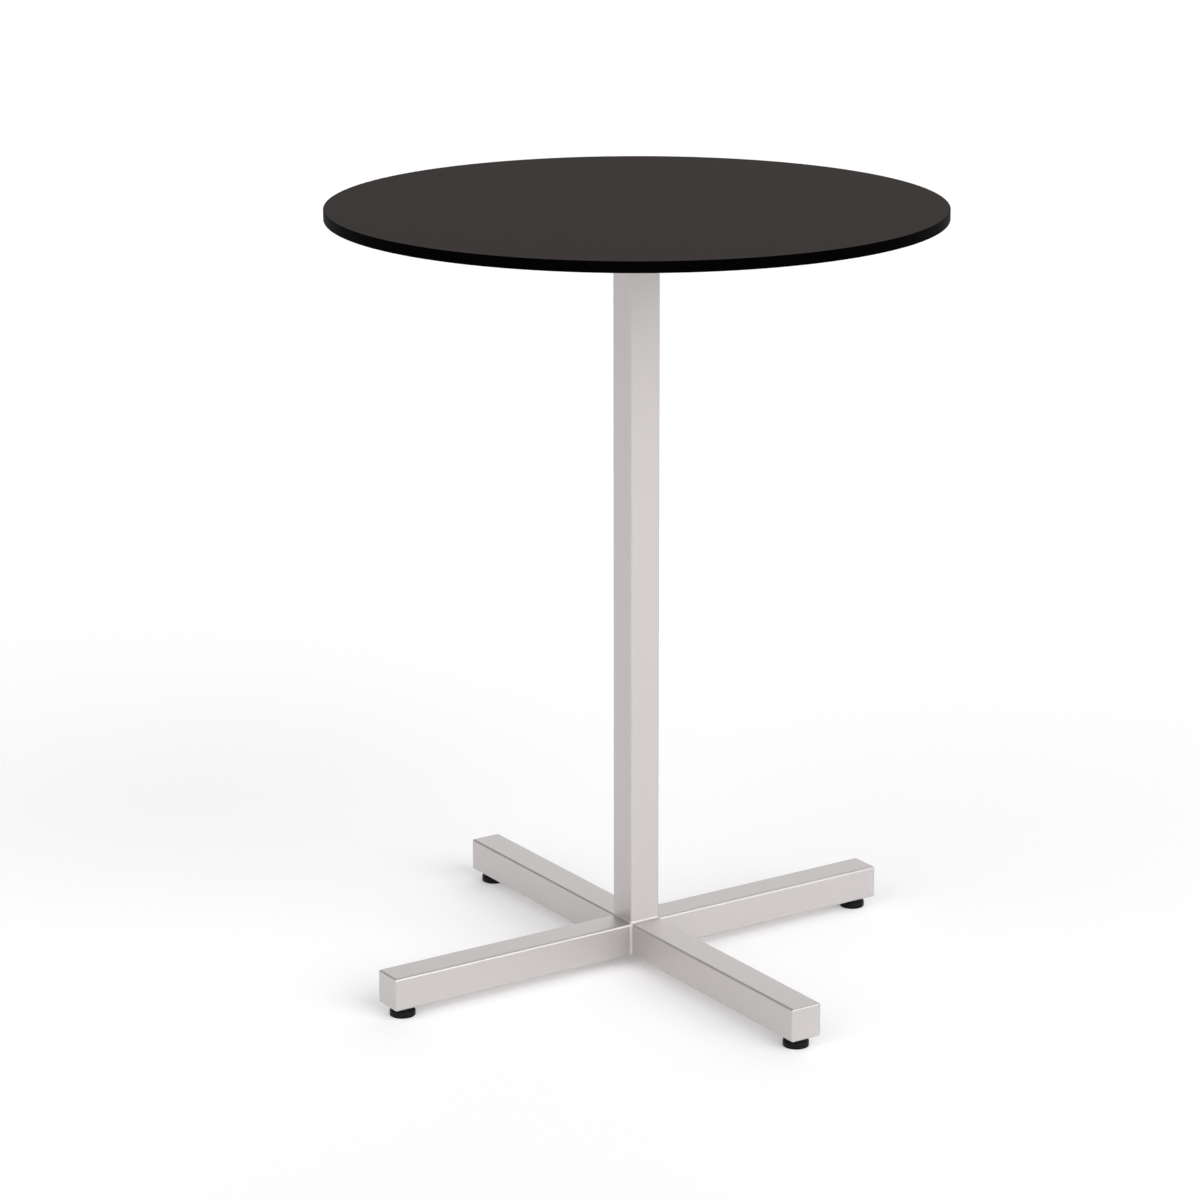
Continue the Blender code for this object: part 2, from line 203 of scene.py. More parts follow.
def skin(rings, joined=False):
    """Cover a row of equal rings with quads. The end rings are capped, or joined to each other."""
    bm = bmesh.new()
    rows = [[bm.verts.new(point) for point in ring] for ring in rings]
    pairs = list(zip(rows, rows[1:]))
    if joined:
        pairs.append((rows[-1], rows[0]))
    for lower, upper in pairs:
        for here in range(len(lower)):
            there = (here + 1) % len(lower)
            bm.faces.new((lower[here], lower[there], upper[there], upper[here]))
    if not joined:
        bm.faces.new(reversed(rows[0]))
        bm.faces.new(rows[-1])
    bmesh.ops.recalc_face_normals(bm, faces=bm.faces)
    return bm


def lathe(profile, segments, joined=False):
    """Turn an (r, z) profile about Z. Its flat ends are capped, or a ring's profile is joined."""
    rings = []
    for r, z in profile:
        angles = [math.tau * step / segments for step in range(segments)]
        rings.append([(r * math.cos(angle), r * math.sin(angle), z) for angle in angles])
    return skin(rings, joined)


def cylinder(radius, bottom, top, segments=SMALL_SEGMENTS):
    return lathe([(radius, bottom), (radius, top)], segments)


def moved(bm, *place):
    bmesh.ops.translate(bm, verts=bm.verts, vec=place)
    return bm


def combine(first, second, operation):
    """Return the boolean of two closed bmeshes, which it uses up."""
    objects = []
    for bm in (first, second):
        mesh = bpy.data.meshes.new("operand")
        bm.to_mesh(mesh)
        bm.free()
        objects.append(bpy.data.objects.new("operand", mesh))
        bpy.context.scene.collection.objects.link(objects[-1])
    modifier = objects[0].modifiers.new("combine", "BOOLEAN")
    modifier.operation = operation
    modifier.solver = "EXACT"
    modifier.object = objects[1]
    bpy.context.view_layer.update()
    depsgraph = bpy.context.evaluated_depsgraph_get()
    mesh = bpy.data.meshes.new_from_object(objects[0].evaluated_get(depsgraph))
    result = bmesh.new()
    result.from_mesh(mesh)
    bpy.data.meshes.remove(mesh)
    for obj in objects:
        bpy.data.meshes.remove(obj.data)
    return result


def add_piece(name, bm, material, body, nodes=(), angle=0.0):
    """Make a piece of a bmesh, turned about the column's axis, and put it on its body."""
    mesh = bpy.data.meshes.new(name)
    bm.to_mesh(mesh)
    bm.free()
    mesh.transform(Matrix.Rotation(math.radians(angle), 4, "Z"))
    mesh.materials.append(material)
    mesh.shade_smooth()
    mesh.set_sharp_from_angle(angle=SMOOTH_ANGLE)
    obj = bpy.data.objects.new(name, mesh)
    bpy.context.scene.collection.objects.link(obj)
    normals = obj.modifiers.new("flat_faces_stay_flat", "WEIGHTED_NORMAL")
    normals.keep_sharp = True
    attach(obj, body)
    if nodes:
        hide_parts(*nodes)
    return obj


def threaded_rod(diameter, pitch, bottom, top):
    """Make a rod with a right-hand thread that runs out above its foot and is chamfered at its tip."""
    crest = diameter / 2
    root = crest - THREAD_DEPTH * pitch
    tip = crest - THREAD_TIP_CHAMFER
    profile = (
        (0.0, crest),
        (THREAD_CREST, crest),
        (THREAD_CREST + THREAD_FLANK, root),
        (1 - THREAD_FLANK, root),
    )
    turns = math.ceil((top - bottom) / pitch) + THREAD_SPARE_TURNS
    bm = bmesh.new()
    columns = []
    for step in range(THREAD_SEGMENTS):
        angle = math.tau * step / THREAD_SEGMENTS
        column = []
        for turn in range(turns):
            for share, radius in profile:
                z = bottom + pitch * (turn - 1 + share + step / THREAD_SEGMENTS)
                z = min(max(z, bottom), top)
                radius = min(radius, root + max(0, z - bottom - THREAD_RUNOUT), tip + top - z)
                column.append(bm.verts.new((radius * math.cos(angle), radius * math.sin(angle), z)))
        columns.append(column)
    # The last column meets the first one a whole turn further up the helix.
    columns.append(columns[0][len(profile):])
    for here, there in zip(columns, columns[1:]):
        for low in range(min(len(here), len(there)) - 1):
            bm.faces.new((here[low], there[low], there[low + 1], here[low + 1]))
    bmesh.ops.remove_doubles(bm, verts=bm.verts, dist=MERGE_DISTANCE)
    bmesh.ops.holes_fill(bm, edges=[edge for edge in bm.edges if edge.is_boundary])
    bmesh.ops.recalc_face_normals(bm, faces=bm.faces)
    return bm


def hexagon(across_flats, bottom, top):
    corner = across_flats / 2 / math.cos(math.pi / 6)
    return lathe([(corner, bottom), (corner, top)], 6)


def chamfered_hexagon(across_flats, bottom, top):
    """Make a hexagon whose corners are turned off at 30 degrees at both ends."""
    flat = across_flats / 2
    corner = flat / math.cos(math.pi / 6) + CUTTER_MARGIN
    drop = (corner - flat) * math.tan(math.pi / 6)
    limits = [(flat, bottom), (corner, bottom + drop), (corner, top - drop), (flat, top)]
    return combine(hexagon(across_flats, bottom, top), lathe(limits, SMALL_SEGMENTS), "INTERSECT")


def new_material(name, color, roughness, metallic=0.0, specular=0.5):
    """Make a Principled material with its uniform values on the shader's own sockets."""
    material = bpy.data.materials.new(name)
    material.use_nodes = True
    shader = material.node_tree.nodes["Principled BSDF"]
    shader.inputs["Base Color"].default_value = (*color, 1.0)
    shader.inputs["Roughness"].default_value = roughness
    shader.inputs["Metallic"].default_value = metallic
    shader.inputs["Specular IOR Level"].default_value = specular
    return material


def add_noise(material, scale, detail=3.0):
    """Add a noise in the part's frame, with its features a metre along each axis."""
    nodes, links = material.node_tree.nodes, material.node_tree.links
    place = nodes.new("ShaderNodeTexCoord")
    mapping = nodes.new("ShaderNodeMapping")
    mapping.inputs["Scale"].default_value = scale
    noise = nodes.new("ShaderNodeTexNoise")
    noise.inputs["Scale"].default_value = 1.0
    noise.inputs["Detail"].default_value = detail
    links.new(place.outputs["Object"], mapping.inputs["Vector"])
    links.new(mapping.outputs["Vector"], noise.inputs["Vector"])
    return noise.outputs["Fac"]


def vary_color(material, fac, dark, light):
    """Drive the base colour between two colours."""
    nodes, links = material.node_tree.nodes, material.node_tree.links
    mix = nodes.new("ShaderNodeMix")
    mix.data_type = "RGBA"
    mix.inputs["A"].default_value = (*dark, 1.0)
    mix.inputs["B"].default_value = (*light, 1.0)
    links.new(fac, mix.inputs["Factor"])
    links.new(mix.outputs["Result"], nodes["Principled BSDF"].inputs["Base Color"])


def vary_roughness(material, fac, low, high):
    nodes, links = material.node_tree.nodes, material.node_tree.links
    spread = nodes.new("ShaderNodeMapRange")
    spread.inputs["To Min"].default_value = low
    spread.inputs["To Max"].default_value = high
    links.new(fac, spread.inputs["Value"])
    links.new(spread.outputs["Result"], nodes["Principled BSDF"].inputs["Roughness"])


def add_bump(material, fac, height, strength):
    nodes, links = material.node_tree.nodes, material.node_tree.links
    bump = nodes.new("ShaderNodeBump")
    bump.inputs["Strength"].default_value = strength
    bump.inputs["Distance"].default_value = height
    links.new(fac, bump.inputs["Height"])
    links.new(bump.outputs["Normal"], nodes["Principled BSDF"].inputs["Normal"])


def scaled(color, factor):
    return tuple(part * factor for part in color)


STEEL_COLOR = (0.594, 0.566, 0.562)
ARM_ROUGHNESS = 0.50
COLUMN_ROUGHNESS = 0.57
STEEL_SHADE_SPREAD = 0.05
STEEL_ROUGHNESS_SPREAD = 0.05
GRAIN_ACROSS = 1500.0
GRAIN_ALONG = 9.0


def make_steel(name, grain_axis=None, roughness=ARM_ROUGHNESS):
    """Brushed satin steel, with its grain along one axis, or ground steel without a direction."""
    material = new_material(name, STEEL_COLOR, roughness, metallic=1.0)
    scale = [GRAIN_ACROSS] * 3
    if grain_axis is not None:
        scale[grain_axis] = GRAIN_ALONG
    grain = add_noise(material, scale, detail=4.0)
    dark = scaled(STEEL_COLOR, 1 - STEEL_SHADE_SPREAD)
    light = scaled(STEEL_COLOR, 1 + STEEL_SHADE_SPREAD)
    vary_color(material, grain, dark, light)
    spread = STEEL_ROUGHNESS_SPREAD
    vary_roughness(material, grain, roughness - spread, roughness + spread)
    add_bump(material, grain, height=0.00001, strength=0.15)
    return material


def make_weld_metal():
    material = new_material("weld_metal", color=(0.5, 0.47, 0.45), roughness=0.38, metallic=1.0)
    grain = add_noise(material, scale=(900.0, 900.0, 900.0))
    vary_color(material, grain, dark=(0.38, 0.34, 0.31), light=(0.60, 0.57, 0.55))
    vary_roughness(material, grain, low=0.30, high=0.46)
    return material


def make_zinc():
    material = new_material("zinc_plating", color=(0.60, 0.61, 0.62), roughness=0.30, metallic=1.0)
    cloud = add_noise(material, scale=(420.0, 420.0, 420.0))
    vary_color(material, cloud, dark=(0.52, 0.53, 0.55), light=(0.66, 0.66, 0.65))
    vary_roughness(material, cloud, low=0.24, high=0.38)
    return material


def make_black_oxide():
    material = new_material("black_oxide", color=(0.03, 0.03, 0.032), roughness=0.42, metallic=0.7)
    cloud = add_noise(material, scale=(700.0, 700.0, 700.0))
    vary_color(material, cloud, dark=(0.018, 0.018, 0.020), light=(0.045, 0.043, 0.042))
    vary_roughness(material, cloud, low=0.34, high=0.52)
    return material


def make_brass():
    material = new_material("brass", color=(0.72, 0.53, 0.24), roughness=0.33, metallic=1.0)
    turning = add_noise(material, scale=(60.0, 60.0, 2600.0))
    vary_color(material, turning, dark=(0.62, 0.45, 0.19), light=(0.78, 0.59, 0.29))
    vary_roughness(material, turning, low=0.26, high=0.40)
    return material


def make_nylon():
    """Moulded black nylon with a fine spark-eroded grain."""
    black = (0.0032, 0.0032, 0.0032)
    material = new_material("moulded_nylon", color=black, roughness=0.50, specular=0.14)
    grain = add_noise(material, scale=(2600.0, 2600.0, 2600.0))
    vary_roughness(material, grain, low=0.42, high=0.58)
    add_bump(material, grain, height=0.00003, strength=0.25)
    return material


def make_laminate():
    """The matt laminate face, with its fine pressed texture."""
    warm_black = (0.0298, 0.0241, 0.0224)
    material = new_material("laminate_face", color=warm_black, roughness=0.72, specular=0.03)
    texture = add_noise(material, scale=(1900.0, 1900.0, 1900.0), detail=4.0)
    vary_color(material, texture, dark=(0.0271, 0.0219, 0.0204), light=(0.0325, 0.0263, 0.0244))
    vary_roughness(material, texture, low=0.66, high=0.78)
    add_bump(material, texture, height=0.00002, strength=0.12)
    return material


def make_core():
    """The laminate's black core, with the faint layers of its pressed paper."""
    black = (0.0006, 0.0006, 0.0006)
    material = new_material("laminate_core", color=black, roughness=0.45, specular=0.004)
    layers = add_noise(material, scale=(14.0, 14.0, 5200.0), detail=2.0)
    vary_color(material, layers, dark=(0.0003, 0.0003, 0.0003), light=(0.0011, 0.0010, 0.0010))
    vary_roughness(material, layers, low=0.38, high=0.52)
    return material


STEEL_X = make_steel("brushed_steel_x", 0)
STEEL_Y = make_steel("brushed_steel_y", 1)
STEEL_Z = make_steel("brushed_steel_z", 2, COLUMN_ROUGHNESS)
STEEL_GROUND = make_steel("ground_steel")
WELD_METAL = make_weld_metal()
ZINC = make_zinc()
BLACK_OXIDE = make_black_oxide()
BRASS = make_brass()
NYLON = make_nylon()
LAMINATE = make_laminate()
CORE = make_core()


def middle(low, high):
    return (low + high) / 2


def make_top():
    """The round top: laminate faces, an eased black core edge and a blind hole for each insert."""
    radius, eased = TOP_HIGH.x, TOP_EDGE_RADIUS
    profile = arc(radius - eased, TOP_HIGH.z - eased, eased, 90, 0)
    profile += arc(radius - eased, TOP_LOW.z + eased, eased, 0, -90)
    bm = lathe(profile, TOP_SEGMENTS)
    hole_radius = (INSERT_HIGH.x - INSERT_LOW.x) / 2 + INSERT_HOLE_GAP
    hole_top = max(INSERT_HIGH.z, SCREW_HIGH.z) + INSERT_HOLE_GAP
    for corner in CORNERS:
        place = middle(*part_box("top_insert_" + corner))
        hole = cylinder(hole_radius, TOP_LOW.z - CUTTER_MARGIN, hole_top)
        bm = combine(bm, moved(hole, place.x, place.y, 0), "DIFFERENCE")
    top = add_piece("round_top", bm, LAMINATE, "frame", ["table_top"])
    top.data.materials.append(CORE)
    for face in top.data.polygons:
        face.material_index = 0 if abs(face.normal.z) > TOP_FACE_LEVEL else 1


def make_plate():
    """The mounting plate, with a clear hole for each screw."""
    half, rim = PLATE_HIGH.x, PLATE_EDGE_RADIUS
    rings = []
    for z, side in ((PLATE_LOW.z, 1), (PLATE_HIGH.z, -1)):
        steps = range(EDGE_STEPS + 1) if side > 0 else range(EDGE_STEPS, -1, -1)
        for step in steps:
            angle = math.pi / 2 * step / EDGE_STEPS
            inset = rim * (1 - math.sin(angle))
            level = z + side * rim * (1 - math.cos(angle))
            outline = rounded_square(half - inset, PLATE_CORNER_RADIUS - inset)
            rings.append([(u, v, level) for u, v in outline])
    bm = skin(rings)
    for corner in CORNERS:
        place = middle(*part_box("top_screw_" + corner))
        bottom, top = PLATE_LOW.z - CUTTER_MARGIN, PLATE_HIGH.z + CUTTER_MARGIN
        hole = cylinder(PLATE_HOLE_RADIUS, bottom, top)
        bm = combine(bm, moved(hole, place.x, place.y, 0), "DIFFERENCE")
    add_piece("top_plate", bm, STEEL_X, "frame", ["mounting_plate"])


def make_weld():
    """The rippled fillet weld between the column and the mounting plate."""
    half, radius = COLUMN_HIGH.x, TUBE_CORNER_RADIUS
    straight = 2 * (half - radius)
    quarter = straight + radius * math.pi / 2
    ripples = round(4 * quarter / WELD_RIPPLE_PITCH)
    stations = ripples * WELD_POINTS_PER_RIPPLE
    rings = []
    for station in range(stations):
        side, along = divmod(4 * quarter * station / stations, quarter)
        if along < straight:
            point, heading = Vector((half, along - straight / 2)), 0.0
        else:
            heading = (along - straight) / radius
            center = Vector((half - radius, half - radius))
            point = center + radius * Vector((math.cos(heading), math.sin(heading)))
        turn = Matrix.Rotation(side * math.pi / 2, 2)
        point = turn @ point
        outward = turn @ Vector((math.cos(heading), math.sin(heading)))
        ring = [(point.x, point.y, PLATE_LOW.z)]
        for step in range(WELD_STEPS + 1):
            share = step / WELD_STEPS
            curl = WELD_RIPPLE_CURL * (1 - (2 * share - 1) ** 2)
            phase = (station / WELD_POINTS_PER_RIPPLE - curl) % 1.0
            ripple = WELD_RIPPLE_HEIGHT * (1 - phase) * (share < 1)
            crown = WELD_CROWN * math.sin(math.pi * share) + ripple
            reach = WELD_LEG * share + crown * math.sqrt(0.5)
            drop = WELD_LEG * (1 - share) + crown * math.sqrt(0.5)
            place = point + outward * reach
            ring.append((place.x, place.y, PLATE_LOW.z - (drop if share < 1 else 0)))
        rings.append(ring)
    add_piece("column_weld", skin(rings, joined=True), WELD_METAL, "frame")


def make_column():
    """The upright tube, up to the mounting plate."""
    bore = COLUMN_HIGH.x - TUBE_WALL
    outer = rounded_square(COLUMN_HIGH.x, TUBE_CORNER_RADIUS)
    inner = rounded_square(bore, TUBE_BORE_RADIUS)
    rings = [
        [(u, v, COLUMN_LOW.z) for u, v in outer],
        [(u, v, PLATE_LOW.z) for u, v in outer],
        [(u, v, PLATE_LOW.z) for u, v in inner],
        [(u, v, COLUMN_LOW.z) for u, v in inner],
    ]
    add_piece("column", skin(rings, joined=True), STEEL_Z, "frame", ["column_tube"])


def square_distance(u, v):
    """Return the distance from the tubes' outline, below 0 inside it."""
    flat = COLUMN_HIGH.x - TUBE_CORNER_RADIUS
    across, along = np.abs(u) - flat, np.abs(v) - flat
    outside = np.hypot(np.maximum(across, 0), np.maximum(along, 0))
    return outside + np.minimum(np.maximum(across, along), 0) - TUBE_CORNER_RADIUS


def cut_short(distance, plane):
    """End one distance field at another."""
    apart = np.hypot(np.maximum(distance, 0), np.maximum(plane, 0))
    return apart + np.minimum(np.maximum(distance, plane), 0)


def filleted(first, second):
    """Join two distance fields with a concave fillet."""
    radius = FILLET_RADIUS
    reach = np.hypot(np.maximum(radius - first, 0), np.maximum(radius - second, 0))
    return np.maximum(radius, np.minimum(first, second)) - reach


def fillet_field(points):
    """Return a field below 0 in the ground welds between the arms and around the column's foot."""
    x, y, z = points
    half = COLUMN_HIGH.x
    level = z - COLUMN_LOW.z - half
    column = square_distance(x, y)
    upright = cut_short(column, -level)
    along_x, along_y = square_distance(y, level), square_distance(x, level)
    arms = [cut_short(along_x, half - x), cut_short(along_y, half - y)]
    arms += [cut_short(along_x, half + x), cut_short(along_y, half + y)]
    base = arms[0]
    for arm in arms[1:]:
        base = filleted(base, arm)
    smooth = filleted(base, upright)
    added = np.minimum.reduce(arms + [upright]) - smooth
    solid = np.minimum.reduce([along_x, along_y, column])
    return np.maximum.reduce([smooth + FILLET_SINK, -FILLET_ROOT - solid, FILLET_FEATHER - added])


def surface_net(field, low, pitch):
    """Mesh a sampled field's zero surface, with one vertex in each cell that it crosses."""
    cells = np.array(field.shape) - 1
    sums = np.zeros((cells.prod(), 3))
    counts = np.zeros(cells.prod())
    quads = []
    for axis in range(3):
        turned = np.moveaxis(field, axis, 0)
        edges = np.argwhere((turned[:-1] < 0) != (turned[1:] < 0))
        here = turned[tuple(edges.T)]
        there = turned[tuple((edges + (1, 0, 0)).T)]
        crossing = edges[:, 0] + here / (here - there)
        places = np.insert(edges[:, 1:].astype(float), axis, crossing, axis=1)
        ring = []
        for back in ((1, 1), (0, 1), (0, 0), (1, 0)):
            cell = np.insert(edges[:, 1:] - back, axis, edges[:, 0], axis=1)
            number = np.ravel_multi_index(cell.T, cells)
            np.add.at(sums, number, places)
            np.add.at(counts, number, 1)
            ring.append(number)
        quads.append(np.column_stack(ring))
    used, quads = np.unique(np.concatenate(quads), return_inverse=True)
    return low + pitch * sums[used] / counts[used, None], quads.reshape(-1, 4)


def make_base_weld():
    """The ground fillet welds where the arms meet each other and the column."""
    reach = COLUMN_HIGH.x + FILLET_MARGIN
    count = 2 * math.ceil(reach / FILLET_PITCH)
    low = np.array((-count / 2 * FILLET_PITCH, -count / 2 * FILLET_PITCH, COLUMN_LOW.z - FILLET_PITCH))
    steps = [start + FILLET_PITCH * np.arange(count + 1) for start in low]
    points, quads = surface_net(fillet_field(np.meshgrid(*steps, indexing="ij")), low, FILLET_PITCH)
    for _ in range(FILLET_SETTLING):
        value = fillet_field(points.T)
        slope = np.empty_like(points)
        for axis in range(3):
            nudge = np.zeros(3)
            nudge[axis] = MERGE_DISTANCE
            slope[:, axis] = fillet_field((points + nudge).T) - fillet_field((points - nudge).T)
        slope /= 2 * MERGE_DISTANCE
        steepness = np.maximum((slope ** 2).sum(axis=1), FILLET_LEAST_SLOPE)
        points -= slope * (value / steepness)[:, None]
    mesh = bpy.data.meshes.new("base_weld")
    mesh.from_pydata(points.tolist(), [], quads.tolist())
    bm = bmesh.new()
    bm.from_mesh(mesh)
    bpy.data.meshes.remove(mesh)
    bmesh.ops.recalc_face_normals(bm, faces=bm.faces)
    add_piece("base_weld", bm, STEEL_GROUND, "frame")


def arm_ring(x, half, radius):
    """List the points of a square section of an arm along +X."""
    axis_z = COLUMN_LOW.z + COLUMN_HIGH.x
    return [(x, u, axis_z + v) for u, v in rounded_square(half, radius)]


def make_arm(side, angle, material):
    """One arm: its tube, which leaves a fine groove along the column, and its ground end cap."""
    half, radius, groove = COLUMN_HIGH.x, TUBE_CORNER_RADIUS, JOINT_GROOVE
    start, end = COLUMN_HIGH.x, CAP_LOW.x
    rings = []
    for step in range(EDGE_STEPS + 1):
        turn = math.pi / 2 * step / EDGE_STEPS
        inset = groove * (1 - math.sin(turn))
        rings.append(arm_ring(start + groove * (1 - math.cos(turn)), half - inset, radius - inset))
    rings.append(arm_ring(end, half, radius))
    rings.append(arm_ring(end, half - TUBE_WALL, TUBE_BORE_RADIUS))
    rings.append(arm_ring(start, half - TUBE_WALL, TUBE_BORE_RADIUS))
    glide = middle(PAD_LOW, PAD_HIGH)
    hole_top = COLUMN_LOW.z + TUBE_WALL + CUTTER_MARGIN
    hole = cylinder(ARM_HOLE_RADIUS, COLUMN_LOW.z - CUTTER_MARGIN, hole_top)
    bm = combine(skin(rings, joined=True), moved(hole, glide.x, glide.y, 0), "DIFFERENCE")
    add_piece("arm_" + side, bm, material, "frame", ["arm_tube_" + side], angle)

    rim = CAP_RIM_RADIUS
    rings = [arm_ring(end, half, radius)]
    for step in range(RIM_STEPS + 1):
        turn = math.pi / 2 * step / RIM_STEPS
        inset = rim * (1 - math.cos(turn))
        rings.append(arm_ring(CAP_HIGH.x - rim + rim * math.sin(turn), half - inset, radius - inset))
    plate = ["arm_end_plate_" + side]
    add_piece("arm_cap_" + side, skin(rings), material, "frame", plate, angle)


def make_glide(side, angle):
    """One levelling glide: the nylon pad, and the stem with its button, collar and thread."""
    place = middle(PAD_LOW, PAD_HIGH)
    radius, top = PAD_HIGH.y, PAD_HIGH.z
    shoulder, heel, groove = PAD_SHOULDER_RADIUS, PAD_HEEL_RADIUS, PAD_PARTING_GROOVE
    parting = middle(heel, top - shoulder)
    profile = [
        (PAD_SOCKET_RADIUS, PAD_FLOOR_THICKNESS),
        (PAD_SOCKET_RADIUS, PAD_CEILING_Z),
        (PAD_MOUTH_RADIUS, PAD_CEILING_Z),
        (PAD_MOUTH_RADIUS, top),
    ]
    profile += arc(radius - shoulder, top - shoulder, shoulder, 90, 0)
    profile += [
        (radius, parting + groove),
        (radius - groove, parting),
        (radius, parting - groove),
    ]
    profile += arc(radius - heel, heel, heel, 0, -90)
    bm = moved(lathe(profile, PAD_SEGMENTS), place.x, place.y, 0)
    add_piece("pad_" + side, bm, NYLON, "glide_pad_" + side, ["glide_pad_" + side], angle)

    collar_bottom = top + COLLAR_GAP
    collar_top = collar_bottom + COLLAR_HEIGHT
    button, rim = PAD_SOCKET_RADIUS - COLLAR_GAP, BUTTON_EDGE_RADIUS
    button_top = STEM_LOW.z + BUTTON_HEIGHT
    neck = STEM_DIAMETER / 2
    foot = [(button - rim, STEM_LOW.z)]
    foot += arc(button - rim, STEM_LOW.z + rim, rim, -90, 0)[1:]
    foot += arc(button - rim, button_top - rim, rim, 0, 90)
    foot += [(neck, button_top), (neck, middle(collar_bottom, collar_top))]
    collar = chamfered_hexagon(COLLAR_ACROSS_FLATS, collar_bottom, collar_top)
    rod = threaded_rod(STEM_DIAMETER, STEM_PITCH, collar_top - ROD_OVERLAP, STEM_HIGH.z)
    bm = combine(combine(collar, lathe(foot, SMALL_SEGMENTS), "UNION"), rod, "UNION")
    body = "glide_stem_" + side
    add_piece("stem_" + side, moved(bm, place.x, place.y, 0), ZINC, body, [body], angle)


def make_top_fixing(corner):
    """One screw with its washer, under the mounting plate."""
    place = middle(*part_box("top_screw_" + corner))
    seat = SCREW_LOW.z + SCREW_HEAD_HEIGHT
    head = (SCREW_HIGH.x - SCREW_LOW.x) / 2
    mouth = SCREW_SOCKET_ACROSS_FLATS / 2 / math.cos(math.pi / 6) + SCREW_SOCKET_CHAMFER
    profile = [(mouth, SCREW_LOW.z)]
    for step in range(RIM_STEPS, -1, -1):
        angle = math.pi / 2 * step / RIM_STEPS
        crown = (head - mouth - PLATE_EDGE_RADIUS) * (1 - math.cos(angle))
        profile.append((head - crown, seat - (SCREW_HEAD_HEIGHT - MERGE_DISTANCE) * math.sin(angle)))
    bm = lathe(profile, SMALL_SEGMENTS)
    socket_top = SCREW_LOW.z + SCREW_SOCKET_DEPTH
    socket = hexagon(SCREW_SOCKET_ACROSS_FLATS, SCREW_LOW.z - CUTTER_MARGIN, socket_top)
    chamfer = lathe([
        (mouth + CUTTER_MARGIN, SCREW_LOW.z - CUTTER_MARGIN),
        (mouth - SCREW_SOCKET_CHAMFER, SCREW_LOW.z + SCREW_SOCKET_CHAMFER),
    ], SMALL_SEGMENTS)
    rod = threaded_rod(SCREW_DIAMETER, SCREW_PITCH, seat - ROD_OVERLAP, SCREW_HIGH.z)
    bm = combine(bm, combine(socket, chamfer, "UNION"), "DIFFERENCE")
    bm = moved(combine(bm, rod, "UNION"), place.x, place.y, 0)
    add_piece("screw_" + corner, bm, BLACK_OXIDE, "frame", ["top_screw_" + corner])

    outer, bore, rim = (WASHER_HIGH.x - WASHER_LOW.x) / 2, SCREW_HOLE_IN_WASHER, WASHER_EDGE_RADIUS
    profile = [(bore, WASHER_LOW.z)]
    profile += arc(outer - rim, WASHER_LOW.z + rim, rim, -90, 0)
    profile += arc(outer - rim, WASHER_HIGH.z - rim, rim, 0, 90)
    profile += [(bore, WASHER_HIGH.z)]
    bm = moved(lathe(profile, SMALL_SEGMENTS, joined=True), place.x, place.y, 0)
    add_piece("washer_" + corner, bm, ZINC, "frame", ["top_washer_" + corner])


def dress_node(name, material):
    """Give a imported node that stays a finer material."""
    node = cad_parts[name]
    node.data.materials.clear()
    node.data.materials.append(material)


def make_table():
    make_top()
    make_plate()
    make_weld()
    make_column()
    make_base_weld()
    for side, angle in ARMS:
        make_arm(side, angle, STEEL_X if angle % 180 == 0 else STEEL_Y)
        make_glide(side, angle)
        dress_node("arm_nut_" + side, ZINC)
    for corner in CORNERS:
        make_top_fixing(corner)
        dress_node("top_insert_" + corner, BRASS)
    dress_node("column_bottom_plate", STEEL_X)


def seen_by_rays(nodes, links):
    """Return 1 for camera, glossy and transmission rays, and 0 for those that only light things."""
    path = nodes.new("ShaderNodeLightPath")
    seen = path.outputs["Is Camera Ray"]
    for kind in ("Is Glossy Ray", "Is Transmission Ray"):
        both = nodes.new("ShaderNodeMath")
        both.operation = "MAXIMUM"
        links.new(seen, both.inputs[0])
        links.new(path.outputs[kind], both.inputs[1])
        seen = both.outputs["Value"]
    return seen


def make_floor():
    """A white floor that keeps the table's shadow, and is open to a camera below it."""
    bm = bmesh.new()
    bmesh.ops.create_grid(bm, x_segments=1, y_segments=1, size=FLOOR_HALF_WIDTH)
    mesh = bpy.data.meshes.new("floor")
    bm.to_mesh(mesh)
    bm.free()
    floor = bpy.data.objects.new("floor", mesh)
    bpy.context.scene.collection.objects.link(floor)

    material = bpy.data.materials.new("studio_floor")
    material.use_nodes = True
    nodes, links = material.node_tree.nodes, material.node_tree.links
    nodes.remove(nodes["Principled BSDF"])
    matt = nodes.new("ShaderNodeBsdfDiffuse")
    matt.inputs["Color"].default_value = (*FLOOR_COLOR, 1.0)
    lift = nodes.new("ShaderNodeEmission")
    strength = nodes.new("ShaderNodeMath")
    strength.operation = "MULTIPLY"
    strength.inputs[1].default_value = FLOOR_LIFT
    links.new(seen_by_rays(nodes, links), strength.inputs[0])
    links.new(strength.outputs["Value"], lift.inputs["Strength"])
    white = nodes.new("ShaderNodeAddShader")
    links.new(matt.outputs["BSDF"], white.inputs[0])
    links.new(lift.outputs["Emission"], white.inputs[1])
    clear = nodes.new("ShaderNodeBsdfTransparent")
    side = nodes.new("ShaderNodeNewGeometry")
    surface = nodes.new("ShaderNodeMixShader")
    links.new(side.outputs["Backfacing"], surface.inputs["Fac"])
    links.new(white.outputs["Shader"], surface.inputs[1])
    links.new(clear.outputs["BSDF"], surface.inputs[2])
    links.new(surface.outputs["Shader"], nodes["Material Output"].inputs["Surface"])
    mesh.materials.append(material)


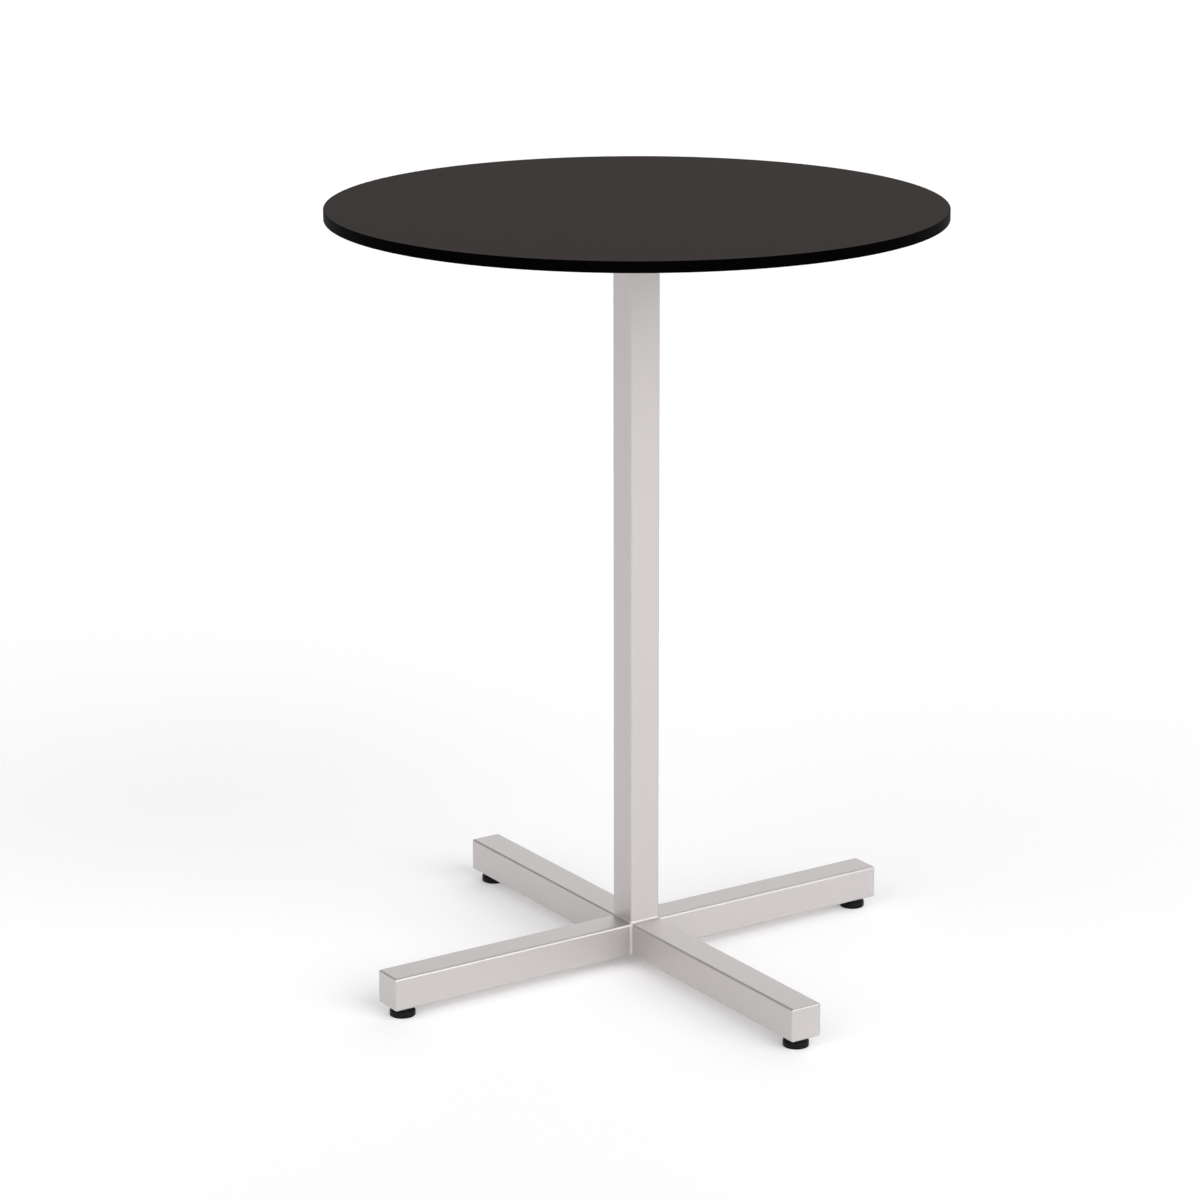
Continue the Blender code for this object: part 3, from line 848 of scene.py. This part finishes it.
def make_studio():
    """A pale room with broad soft lights, above a low white backdrop all round."""
    world = bpy.data.worlds.new("studio")
    world.use_nodes = True
    bpy.context.scene.world = world
    nodes, links = world.node_tree.nodes, world.node_tree.links
    direction = nodes.new("ShaderNodeTexCoord").outputs["Generated"]
    total = nodes.new("ShaderNodeValue").outputs["Value"]
    total.default_value = ROOM_LIGHT
    for azimuth, elevation, strength in SOFT_LIGHTS:
        flat = math.cos(math.radians(elevation))
        toward = nodes.new("ShaderNodeVectorMath")
        toward.operation = "DOT_PRODUCT"
        toward.inputs[1].default_value = (
            flat * math.cos(math.radians(azimuth)),
            flat * math.sin(math.radians(azimuth)),
            math.sin(math.radians(elevation)),
        )
        glow = nodes.new("ShaderNodeMapRange")
        glow.interpolation_type = "SMOOTHSTEP"
        glow.inputs["From Min"].default_value = math.cos(LIGHT_REACH)
        glow.inputs["From Max"].default_value = math.cos(LIGHT_CORE)
        glow.inputs["To Max"].default_value = strength
        added = nodes.new("ShaderNodeMath")
        links.new(direction, toward.inputs[0])
        links.new(toward.outputs["Value"], glow.inputs["Value"])
        links.new(glow.outputs["Result"], added.inputs[0])
        links.new(total, added.inputs[1])
        total = added.outputs["Value"]
    height = nodes.new("ShaderNodeSeparateXYZ")
    links.new(direction, height.inputs["Vector"])
    backdrop = nodes.new("ShaderNodeMapRange")
    backdrop.interpolation_type = "SMOOTHSTEP"
    backdrop.inputs["From Min"].default_value = math.sin(BACKDROP_GONE_AT)
    backdrop.inputs["From Max"].default_value = math.sin(BACKDROP_WHITE_TO)
    links.new(height.outputs["Z"], backdrop.inputs["Value"])
    white = nodes.new("ShaderNodeMath")
    white.operation = "MULTIPLY"
    links.new(backdrop.outputs["Result"], white.inputs[0])
    links.new(seen_by_rays(nodes, links), white.inputs[1])
    shown = nodes.new("ShaderNodeMix")
    shown.inputs["B"].default_value = BACKDROP_WHITE
    links.new(white.outputs["Value"], shown.inputs["Factor"])
    links.new(total, shown.inputs["A"])
    links.new(shown.outputs["Result"], nodes["Background"].inputs["Strength"])
    nodes["Background"].inputs["Color"].default_value = (1.0, 1.0, 1.0, 1.0)


def make_camera():
    camera = bpy.data.objects.new("camera", bpy.data.cameras.new("camera"))
    camera.data.lens = CAMERA_LENS_MM
    camera.data.sensor_width = CAMERA_SENSOR_MM
    camera.matrix_world = (
        Matrix.Translation(CAMERA_PLACE)
        @ Matrix.Rotation(CAMERA_HEADING, 4, "Z")
        @ Matrix.Rotation(CAMERA_TILT, 4, "X")
        @ Matrix.Rotation(CAMERA_ROLL, 4, "Z")
    )
    bpy.context.scene.collection.objects.link(camera)
    bpy.context.scene.camera = camera
    bpy.context.scene.view_settings.view_transform = "Standard"


make_table()
make_floor()
make_studio()
make_camera()
